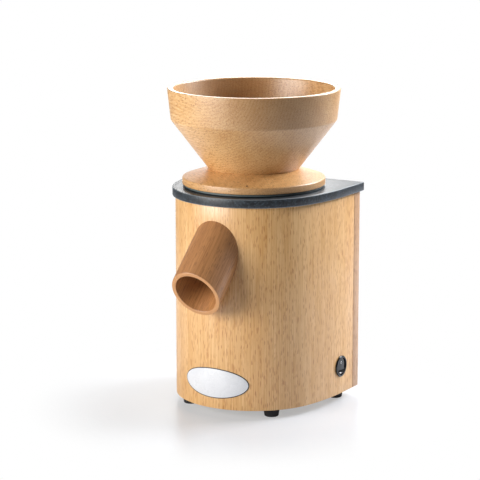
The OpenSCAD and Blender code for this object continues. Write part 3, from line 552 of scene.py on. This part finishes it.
panel_low, panel_high = span("rear_panel")
panel = block(panel_low, panel_high)
bevel_sharp(panel, width=eased, segments=2)
slot_front, slot_back = panel_low.y - through, panel_high.y + through
for i in range(slot_count):
    low = case_bottom + slots_up + i * slot_step
    panel = carve(panel, block((-slot_w / 2, slot_front, low), (slot_w / 2, slot_back, low + slot_h)))
bushing_low, bushing_high = span("cord_bushing")
bushing_x = (bushing_low.x + bushing_high.x) / 2
bushing_z = (bushing_low.z + bushing_high.z) / 2
bushing_place = Matrix.Translation((bushing_x, panel_high.y, bushing_z)) @ Matrix.Rotation(
    math.radians(-90), 4, "X")
panel = carve(panel, rod(bushing_barrel_r + play, -through, through, bushing_place, sides=64))
screw_low, screw_high = span("rear_panel_screws")
screw_places = [
    Matrix.Translation((side * (screw_high.x - head_r), panel_high.y, level))
    @ Matrix.Rotation(math.radians(90), 4, "X")
    for side in (-1, 1)
    for level in (screw_low.z + head_r, (screw_low.z + screw_high.z) / 2, screw_high.z - head_r)
]
for place in screw_places:
    seat = bmesh.new()
    bmesh.ops.create_cone(seat, cap_ends=True, segments=48, radius1=head_r + seat_room,
                          radius2=screw_hole_r, depth=seat_depth,
                          matrix=place @ Matrix.Translation((0, 0, seat_depth / 2 - play)))
    panel = carve(panel, join(seat, rod(screw_hole_r, shank_from, through, place, sides=32)))
finish_piece("rear_board", panel, panel_beech, "housing", ["rear_panel"], sharp=30)

# %% [markdown]
# Much of a mill is turned. A curve with a screw modifier would turn a profile too, but without the
# small rounds at its corners. Here a profile is drawn as one flat face, its corners are rounded, the
# face is dropped and its edges are spun about the axis. The screws come from the same lathe. They
# have countersunk heads, and a cross is cut into each.

# %% Lathe and screws
shank_r = 2
head_t = 2.2
recess_arm, recess_half_w, recess_t = 2.1, 0.45, 1.3


def lathe(profile, steps=128, place=Matrix()):
    """Spin a closed profile of (radius, height, corner radius) about the z axis of a place."""
    shape = bmesh.new()
    corners = [shape.verts.new((radius, 0, height)) for radius, height, _ in profile]
    shape.faces.new(corners)
    for corner, (_, _, rounding) in zip(corners, profile):
        if rounding:
            bmesh.ops.bevel(shape, geom=[corner], offset=rounding, offset_type="OFFSET", segments=5,
                            profile=0.5, affect="VERTICES", clamp_overlap=True, material=-1)
    bmesh.ops.delete(shape, geom=shape.faces[:], context="FACES_ONLY")
    bmesh.ops.spin(shape, geom=shape.verts[:] + shape.edges[:], cent=(0, 0, 0), axis=(0, 0, 1),
                   angle=2 * math.pi, steps=steps, use_merge=True)
    bmesh.ops.remove_doubles(shape, verts=shape.verts, dist=weld)
    bmesh.ops.transform(shape, matrix=place, verts=shape.verts)
    return shape


def cross_screw(place, length):
    """A countersunk screw with its head's face on a place, pointing along its z."""
    profile = [(0, 0, 0), (head_r, 0, 0.12), (shank_r, head_t, 0), (shank_r, length, 0), (0, length, 0)]
    screw = lathe(profile, steps=32, place=place)
    for x, y in ((recess_arm, recess_half_w), (recess_half_w, recess_arm)):
        screw = carve(screw, block((-x, -y, -1), (x, y, recess_t), place))
    return screw


print(f"screws: heads {2 * head_r} mm across, shanks {2 * shank_r} mm")

# %% [markdown]
# The hopper is turned from a block of beech whose grain lies across it: an upright band with a flat
# rim, on a cone, on a wide flange. A smoothed cage of a few rings could make it, but would soften
# the bend and the neck, which are crisp. Each corner of the profile has a radius of its own, and the
# rim and the flange's edge are just eased, as a turner does with paper before the oil.

# %% Hopper
funnel_low, funnel_high = span("hopper_funnel")
rim_z = funnel_high.z
rim_r = funnel_high.x
spigot_low = funnel_low.z
spigot_h = 5
cone_h = 56.3
neck_z = spigot_low + spigot_h
bend_z = neck_z + cone_h
bend_r = 94.9
neck_r = 52
spigot_r = 40
throat_hole_r = 24.05
wall = 7
funnel_profile = [
    (throat_hole_r, spigot_low, 0.3), (spigot_r, spigot_low, 0.5), (spigot_r, neck_z, 0),
    (neck_r, neck_z, 0.4), (bend_r, bend_z, 1.2), (rim_r, rim_z, 1.3),
    (rim_r - wall, rim_z, 1.6), (bend_r - wall + 0.5, bend_z + 1, 6), (throat_hole_r, neck_z + 2, 0.6),
]
finish_piece("hopper_bowl", lathe(funnel_profile, steps=160), hopper_beech, "hopper",
             ["hopper_funnel"], sharp=25)

flange_low, flange_high = span("hopper_base")
flange_r = flange_high.x
edge_h = 7.6
flange_profile = [
    (throat_hole_r, flange_low.z, 0.3), (flange_r, flange_low.z, 0.8),
    (flange_r, flange_low.z + edge_h, 1.1), (neck_r, neck_z, 0.2), (spigot_r + play, neck_z, 0),
    (spigot_r + play, spigot_low, 0), (throat_hole_r, spigot_low, 0),
]
finish_piece("hopper_flange", lathe(flange_profile, steps=160), flange_beech, "hopper",
             ["hopper_base"], sharp=25)

# %% [markdown]
# The spout is a turned tube set into the nose at a slant. It could be carved with large blocks, but
# two planes do it cleanly: an outer and an inner tube are cut off upright inside the casing and at a
# tilt at the mouth, and their open ends are bridged. The mouth's edges are eased for the finger that
# wipes it.

# %% Spout
spout_bore_r = 24.75
tube_l = 240
mouth_reach = 51.7
mouth_tilt = math.radians(29.2)
flat_within = 0.01
slope = math.radians(spout_slope)
mouth_centre = Vector((0, -nose_r - mouth_reach * math.cos(slope),
                       spout_meets_nose - mouth_reach * math.sin(slope)))
mouth_normal = Vector((0, -math.cos(mouth_tilt), -math.sin(mouth_tilt)))
_, spout_high = span("spout")


def in_plane(edge, point, normal):
    """Whether both ends of an edge lie in a plane."""
    return all(abs((v.co - point).dot(normal)) < flat_within for v in edge.verts)


spout = bmesh.new()
for radius in (spout_r, spout_bore_r):
    bmesh.ops.create_cone(spout, cap_ends=False, segments=128, radius1=radius, radius2=radius,
                          depth=tube_l, matrix=spout_place)
for point, outward in ((mouth_centre, mouth_normal), (Vector((0, spout_high.y, 0)), Vector((0, 1, 0)))):
    bmesh.ops.bisect_plane(spout, geom=spout.verts[:] + spout.edges[:] + spout.faces[:],
                           plane_co=point, plane_no=outward, clear_outer=True)
    ring = [edge for edge in spout.edges if edge.is_boundary and in_plane(edge, point, outward)]
    bmesh.ops.bridge_loops(spout, edges=ring)
bevel_sharp(spout, width=0.6, above=30, where=lambda e: in_plane(e, mouth_centre, mouth_normal))
finish_piece("spout_tube", spout, spout_beech, "housing", ["spout"], sharp=30)

# %% [markdown]
# The top plate is a thick sheet of dark board like linoleum, mottled through and through. A picture
# of it could be laid on, but noise that fills the board shows on its edge as well. Cloudy noise
# mixes two dark grounds and finer noise sets pale flecks. Where the edge turns, its faces point
# neither up nor sideways, and there the colour is painted pale: partly wear, as on a plate that is
# often wiped, and partly a painted highlight of the rounded edge.

# %% Mottled board
cloud_size = 9 * MM
speck_size = 2.4 * MM
lino, tree, surface, place = start_material("mottled_linoleum_plate")
clouds = noise(tree, stepped(tree, place, [cloud_size] * 3), 4.0, Roughness=0.65, Distortion=1.2)
specks = noise(tree, stepped(tree, place, [speck_size] * 3), 2.0)
ground = mix(tree, remap(tree, clouds, (0.42, 0.62)), srgb("#0F1317"), srgb("#262E35"))
pale = remap(tree, specks, (0.52, 0.75), (0.0, 0.5))
flecked = mix(tree, pale, ground, srgb("#56626C"))
# Painted highlight and wear: the eased edge's faces, half up and half sideways, are made pale
rise = add(tree, "SeparateXYZ", {0: add(tree, "TexCoord").outputs["Normal"]}).outputs["Z"]
squared = calc(tree, "MULTIPLY", rise, rise)
level = calc(tree, "SUBTRACT", 1.0, squared)
edge_wear_and_highlight = calc(tree, "MULTIPLY", calc(tree, "MULTIPLY", squared, level), 3.0)
wear_and_highlight_colour = mix(tree, edge_wear_and_highlight, flecked, srgb("#8C979F"))
sheen = remap(tree, clouds, target=(0.3, 0.5))
dress(tree, surface, wear_and_highlight_colour, sheen, height=specks, strength=0.4, depth=0.08)
print("board:", lino.name)

# %% [markdown]
# The plate keeps the casing's plan, a little larger. Scaling the casing's outline would make the
# overhang uneven, so the chain is drawn again with larger arcs and closed along the back. The hole
# for the milling chamber's collar is cut after the edges are eased.

# %% Top plate
collar_hole_r = 62.4
past = 2
plate_low, plate_high = span("top_plate")
overhang = plate_high.x - half_w
plate = bmesh.new()
edges, left, right = plan(plate, overhang, plate_high.y, plate_low.z)
edges.append(plate.edges.new((right, left)))
bmesh.ops.contextual_create(plate, geom=edges)
raise_faces(plate, plate_high.z - plate_low.z)
bevel_sharp(plate, width=0.9, above=60)
plate = carve(plate, rod(collar_hole_r, plate_low.z - past, plate_high.z + past, sides=128))
finish_piece("top_board", plate, lino, "housing", ["top_plate"], sharp=30)

# %% [markdown]
# Plastics, rubber and metals differ in a few things only: their colour, how rough they are, and how
# coarse their surface is. A graph for each would say the same thing many times. So one function
# gives moulded or cast skins, whose fine grain of pits comes from the mould, and one gives machined
# metal, whose fine lines run round the axis of the lathe.


# %% Skins and metals
def skin(name, colour, shade, roughness, grit, depth, metallic=0.0):
    """A moulded or cast surface: grit is the spacing of its pits in mm, depth their depth."""
    material, tree, surface, place = start_material(name, Metallic=metallic)
    pits = noise(tree, stepped(tree, place, [grit * MM] * 3), 3.0)
    wear = noise(tree, stepped(tree, place, [grit * 14 * MM] * 3), 2.0)
    share = remap(tree, calc(tree, "MULTIPLY", pits, wear), (0.12, 0.4))
    mixed = mix(tree, share, srgb(colour), srgb(shade))
    rough = remap(tree, wear, target=(roughness * 0.75, roughness * 1.25))
    dress(tree, surface, mixed, rough, height=pits, strength=0.5, depth=depth)
    return material


def machined(name, colour, shade, roughness, pitch, stretch=(0.03, 0.03, 1.0)):
    """Machined or drawn metal: pitch is the spacing of its tool lines in mm."""
    material, tree, surface, place = start_material(name, Metallic=1.0)
    scale = [s / (pitch * MM) for s in stretch]
    lines = noise(tree, add(tree, "Mapping", {"Vector": place, "Scale": scale}).outputs[0], 2.0)
    mixed = mix(tree, lines, srgb(colour), srgb(shade))
    rough = remap(tree, lines, target=(roughness * 0.7, roughness * 1.3))
    dress(tree, surface, mixed, rough, height=lines, strength=0.4, depth=0.01)
    return material


zinc = machined("bright_zinc_plate", "#D3D4D2", "#B4B6B5", 0.3, 0.4)
black_gloss = skin("moulded_gloss_black", "#090A0C", "#121315", 0.1, 0.6, 0.001)
rubber = skin("moulded_black_rubber", "#17171A", "#232326", 0.75, 0.5, 0.03)
bushing_nylon = skin("moulded_black_nylon", "#161617", "#212122", 0.5, 0.4, 0.01)
white_film = skin("printed_white_film", "#E0E2E6", "#D7D9DE", 0.28, 1.2, 0.004)
film_edge = skin("film_edge_ink", "#2B2D31", "#3A3D42", 0.35, 0.8, 0.004)
mark_paint = skin("white_mark_paint", "#E2E2E2", "#D2D2D2", 0.5, 0.3, 0.003)
print("skins: gloss black, rubber, nylon, film, ink and paint; metal: zinc")

# %% [markdown]
# Six screws hold the rear panel, each in the seat that was cut for it. They could be six objects,
# but one mesh holds them all, as the frame's node does.

# %% Panel screws
panel_screw_l = 23
screws = join(*[cross_screw(place, panel_screw_l) for place in screw_places])
finish_piece("panel_screws", screws, zinc, "housing", ["rear_panel_screws"])

# %% [markdown]
# Four rubber feet taper to the floor, with a round edge and a recess for their screws, which have
# the same heads. A mirror modifier could make the far pair, but the four places are as easily
# counted out: the front and the rear one, each on both sides.

# %% Feet
_, feet_high = span("rubber_feet")
foot_top_r = 9.5
foot_floor_r = 8
foot_recess_r = 4.05
front_angle = math.radians(46)
front_inset = 15
foot_screw_l = 14.8
front_r = nose_r - front_inset
front_foot = Vector((front_r * math.sin(front_angle), -front_r * math.cos(front_angle), 0))
rear_foot = Vector((feet_high.x - foot_top_r, feet_high.y - foot_top_r, 0))
foot_places = [Matrix.Translation((side * spot.x, spot.y, 0)) for spot in (front_foot, rear_foot)
               for side in (-1, 1)]
recess_z = case_bottom / 2
foot_profile = [
    (foot_recess_r, 0, 0.3), (foot_floor_r, 0, 1.2), (foot_top_r - 0.15, case_bottom - 1, 0.2),
    (foot_top_r - 0.1, case_bottom, 0.2), (screw_hole_r, case_bottom, 0), (screw_hole_r, recess_z, 0),
    (foot_recess_r, recess_z, 0),
]
feet = join(*[lathe(foot_profile, steps=64, place=place) for place in foot_places])
finish_piece("feet", feet, rubber, "housing", ["rubber_feet"])
foot_screw_places = [place @ Matrix.Translation((0, 0, recess_z - head_t)) for place in foot_places]
foot_screws = join(*[cross_screw(place, foot_screw_l) for place in foot_screw_places])
finish_piece("foot_fasteners", foot_screws, zinc, "housing", ["foot_screws"])

# %% [markdown]
# The switch is a round snap-in rocker. Its bezel and its barrel are one moulding, so they are one
# profile on the lathe. The mouth of the bezel is as wide as the ball of the rocker is where it
# passes, so the gap between them stays even.

# %% Switch bezel
bezel_r = 12.5
bore_r = 10.2
barrel_l = 22
bezel_t = switch_high.x - half_w
pivot = joint_places["switch_rock"]
pivot_depth = (pivot[0] - half_w * MM) / MM
face_r = math.sqrt(bore_r**2 - (bezel_t - pivot_depth) ** 2)
bezel_profile = [
    (bezel_r, 0, 0.1), (bezel_r, bezel_t, 1.2), (face_r + 0.25, bezel_t, 0.35), (bore_r, pivot_depth, 0),
    (bore_r, 0.1 - barrel_l, 0), (barrel_r, -barrel_l, 0.3), (barrel_r, 0, 0),
]
bezel = lathe(bezel_profile, steps=96, place=switch_place)
finish_piece("switch_bezel", bezel, black_gloss, "housing", ["switch_body"])

# %% [markdown]
# The rocker could be a block with a bent top, but it has to turn inside a round bore. So it is a ball
# about its own pivot, cut to a profile: the upper half is pressed in and flat, and the lower half
# curls outwards to a lip that stands proud, where the finger pushes. The curl is a power curve, flat
# at the pivot and steep at the lip. The pin doesn't show, but it carries the rocker in the bezel.

# %% Rocker
rocker_r = 9.9
face = 1.6
lip_at = 7.2
lip_proud = 2.55
lip_steps = 24
lip_foot = (1.9, -9.9)
back = -4
reach = 2 * rocker_r
pin_r = 1.2
pin_reach = 10.7
pivot_place = Matrix.Translation((pivot[0] / MM, switch_y, switch_z))
outline = [(back, -reach), (-1, -reach), lip_foot]
for i in range(lip_steps + 1):
    share = 1 - i / lip_steps
    outline.append((face + lip_proud * share**4, -lip_at * share))
outline += [(face, reach), (back, reach)]

ball = bmesh.new()
bmesh.ops.create_uvsphere(ball, u_segments=96, v_segments=48, radius=rocker_r,
                          matrix=pivot_place @ Matrix.Rotation(math.radians(90), 4, "Y"))
slab = bmesh.new()
slab.faces.new([slab.verts.new((x, -reach, z)) for x, z in outline])
sides = bmesh.ops.extrude_face_region(slab, geom=slab.faces[:])["geom"]
far_side = [part for part in sides if isinstance(part, bmesh.types.BMVert)]
bmesh.ops.translate(slab, vec=(0, 2 * reach, 0), verts=far_side)
bmesh.ops.transform(slab, matrix=pivot_place, verts=slab.verts)
rocker = carve(ball, slab, "INTERSECT")
bevel_sharp(rocker, width=0.5, segments=4)
pin_place = pivot_place @ Matrix.Rotation(math.radians(90), 4, "X")
rocker = join(rocker, rod(pin_r, -pin_reach, pin_reach, pin_place, sides=24))
finish_piece("rocker_cap", rocker, black_gloss, "rocker", ["switch_rocker"], sharp=40)

# %% [markdown]
# A small painted ring marks the off side. It could be a colour on the rocker, but a thin ring of its
# own, let into the face, keeps a crisp edge.

# %% Mark
mark_up = 4.4
mark_r, mark_bore_r = 1.45, 1.0
mark_low, mark_high = -0.1, 0.04
mark_place = pivot_place @ Matrix.Translation((face, 0, mark_up)) @ Matrix.Rotation(math.radians(90), 4, "Y")
mark_profile = [
    (mark_bore_r, mark_low, 0), (mark_r, mark_low, 0), (mark_r, mark_high, 0), (mark_bore_r, mark_high, 0),
]
finish_piece("rocker_mark", lathe(mark_profile, steps=32, place=mark_place), mark_paint, "rocker")

# %% [markdown]
# The badge is an oval white film on the nose, framed by a thin dark line. It could be cut from a
# piece of a cylinder, but an oval is simpler to draw flat. So a round disc is stretched to an oval,
# sliced upright so that it can bend, and wrapped round the nose.

# %% Badge
badge_low, badge_high = span("name_badge")
badge_half_h = (badge_high.z - badge_low.z) / 2
badge_z = (badge_high.z + badge_low.z) / 2
badge_half_w = 42.5
badge_t = 0.8
line_w = 0.9
line_t = badge_t * 0.7
slices = 48
film_gap = 0.02
film_r = nose_r + film_gap


def oval(shrink, height, hole=None):
    """A flat oval, or an oval ring, ready to be wrapped."""
    shape = bmesh.new()
    bmesh.ops.create_circle(shape, cap_ends=hole is None, segments=128, radius=1,
                            matrix=Matrix.Diagonal((badge_half_w - shrink, badge_half_h - shrink, 1, 1)))
    if hole is not None:
        bmesh.ops.create_circle(shape, cap_ends=False, segments=128, radius=1,
                                matrix=Matrix.Diagonal((badge_half_w - hole, badge_half_h - hole, 1, 1)))
        bmesh.ops.bridge_loops(shape, edges=shape.edges[:])
    raise_faces(shape, height)
    return shape


def wrap(shape):
    """Slice a flat shape upright and wrap it round the nose."""
    for i in range(1, slices):
        x = badge_half_w * (2 * i / slices - 1)
        bmesh.ops.bisect_plane(shape, geom=shape.verts[:] + shape.edges[:] + shape.faces[:],
                               plane_co=(x, 0, 0), plane_no=(1, 0, 0))
    for vert in shape.verts:
        angle = vert.co.x / nose_r
        out = film_r + vert.co.z
        vert.co = (out * math.sin(angle), -out * math.cos(angle), badge_z + vert.co.y)
    return shape


badge = oval(line_w, badge_t)
bevel_sharp(badge, width=0.3, segments=2, above=60,
            where=lambda e: min(v.co.z for v in e.verts) > badge_t / 2)
finish_piece("badge_film", wrap(badge), white_film, "housing", ["name_badge"], sharp=40)
badge_edge = oval(0, line_t, hole=line_w)
finish_piece("badge_edge", wrap(badge_edge), film_edge, "housing", sharp=40)

# %% [markdown]
# A nylon bushing lines the hole where the mains cord comes in, with a round flange outside and a
# barrel that its nut grips inside. It could keep the frame's plain mesh, but its flange shows at the
# back and needs round edges. So it comes from the lathe too.

# %% Cord bushing
bushing_bore_r = 3.6
bushing_flange_r = bushing_high.x - bushing_x
bushing_t = bushing_high.y - panel_high.y
bushing_end = bushing_low.y - panel_high.y
bushing_profile = [
    (bushing_bore_r, bushing_t, 0.8), (bushing_flange_r, bushing_t, 1.0), (bushing_flange_r, 0, 0.2),
    (bushing_barrel_r, 0, 0), (bushing_barrel_r, bushing_end, 0.4), (bushing_bore_r, bushing_end, 0.4),
]
bushing = lathe(bushing_profile, steps=64, place=bushing_place)
finish_piece("bushing", bushing, bushing_nylon, "housing", ["cord_bushing"])

# %% [markdown]
# What is inside gets the finish of its trade: cast and machined aluminium, stacked steel sheet,
# varnished copper, ground bearing steel, fused corundum, pressed felt and moulded plastic. Most come
# from the functions above. Stacked sheet and wound wire need even lines, so they have their own.


# %% Finishes inside
def layered(name, base, line, metallic, roughness, spacing, turn=(0, 0, 0)):
    """Stacked or wound metal: fine even lines, spacing mm apart."""
    material, tree, surface, place = start_material(name, Metallic=metallic)
    turned = add(tree, "Mapping", {
        "Vector": place, "Rotation": [math.radians(t) for t in turn], "Scale": (1 / MM,) * 3}).outputs[0]
    sheets = add(tree, "TexWave", {
        "Vector": turned, "Scale": BAND_SCALE / spacing, "Distortion": 0.6, "Detail": 1.0,
    }, bands_direction="Z").outputs["Fac"]
    mixed = mix(tree, sheets, srgb(line), srgb(base))
    rough = remap(tree, sheets, target=(roughness * 1.2, roughness * 0.8))
    dress(tree, surface, mixed, rough, height=sheets, strength=0.6, depth=0.1)
    return material


cast_aluminium = skin("cast_aluminium", "#B9BBBC", "#9A9C9E", 0.5, 0.9, 0.05, metallic=1.0)
turned_aluminium = machined("turned_aluminium", "#A9ABAD", "#8F9193", 0.36, 0.5)
bright_steel = machined("ground_bearing_steel", "#D5D7DA", "#BFC1C5", 0.14, 0.3)
drawn_steel = machined("drawn_steel_shaft", "#B9BBBE", "#9C9EA2", 0.3, 0.4)
stainless = machined("brushed_stainless_tube", "#BFC0C2", "#A5A7AA", 0.33, 0.5)
drawn_can = machined("drawn_aluminium_can", "#CACCCE", "#B2B4B7", 0.32, 0.6, stretch=(1.0, 1.0, 0.03))
stamped_brass = machined("stamped_brass", "#C9A955", "#A98A3E", 0.3, 0.4, stretch=(1.0, 0.05, 1.0))
sheet_steel = layered("stacked_sheet_steel", "#5B5D61", "#34363A", 1.0, 0.45, 1.0)
copper_wire = layered("varnished_copper_wire", "#A9612F", "#5E2F14", 1.0, 0.3, 1.2, turn=(0, 8, 0))
ivory_block = skin("moulded_ivory_block", "#E3DECF", "#D2CCBB", 0.5, 0.6, 0.01)
lead_pvc = skin("extruded_lead_insulation", "#7A1B17", "#651512", 0.4, 1.0, 0.008)
fan_nylon = skin("moulded_grey_fan", "#2B2D2F", "#3A3C3E", 0.5, 0.6, 0.01)
carrier_plastic = skin("moulded_grey_carrier", "#465253", "#5A6667", 0.5, 0.7, 0.01)
corundum = skin("ceramic_bound_corundum", "#D9D4C9", "#A8A398", 0.85, 1.1, 0.35)
felt = skin("pressed_felt", "#8B7B66", "#6C5E4C", 0.95, 0.7, 0.12)
dot_ink = skin("burnt_setting_dot", "#2A1A10", "#3B2617", 0.6, 0.6, 0.02)
plywood = beech("planed_birch_plywood", "#DFC497", "#CBA977", "#A67F50", (0, 90, 0), (0, 0, 400), ring=1.5,
                bands=0.6, ray=0.3)

# %% [markdown]
# The inner pieces could be rounded off like the outer ones, but the frame already has their true
# shapes, and only the setting dot and the dark ring under the hopper show. So each keeps its mesh
# and takes a material, which replaces the plain one that the frame came with.

# %% Handing out the finishes
finishes = {
    "rear_battens": batten_beech, "base_board": plywood,
    "milling_chamber": cast_aluminium, "chamber_screws": zinc,
    "motor_upper_shield": cast_aluminium, "motor_lower_shield": cast_aluminium,
    "stator_core": sheet_steel, "stator_windings": copper_wire, "motor_bolts": zinc,
    "motor_mount_screws": zinc, "bearing_outer_rings": bright_steel, "bearing_balls": bright_steel,
    "run_capacitor": drawn_can, "terminal_block": ivory_block, "switch_terminals": stamped_brass,
    "internal_leads": lead_pvc, "bushing_nut": bushing_nylon,
    "motor_shaft": drawn_steel, "rotor_core": sheet_steel, "rotor_end_rings": cast_aluminium,
    "bearing_inner_rings": bright_steel, "cooling_fan": fan_nylon,
    "lower_stone_carrier": turned_aluminium, "lower_millstone": corundum, "lower_stone_screws": zinc,
    "shaft_key": drawn_steel, "carrier_washer": zinc, "carrier_nut": zinc,
    "dust_seal": felt, "throat_tube": stainless, "throat_guard": stainless, "setting_dot": dot_ink,
    "upper_stone_carrier": carrier_plastic, "upper_millstone": corundum,
    "upper_stone_screws": zinc, "hopper_screws": zinc,
}
for name, material in finishes.items():
    mesh = frame["nodes"][name].data
    mesh.materials.clear()
    mesh.materials.append(material)
bare = [name for name, node in frame["nodes"].items() if name not in finishes and not node.hide_render]
print("finished inside:", len(finishes), "nodes; left bare:", bare)
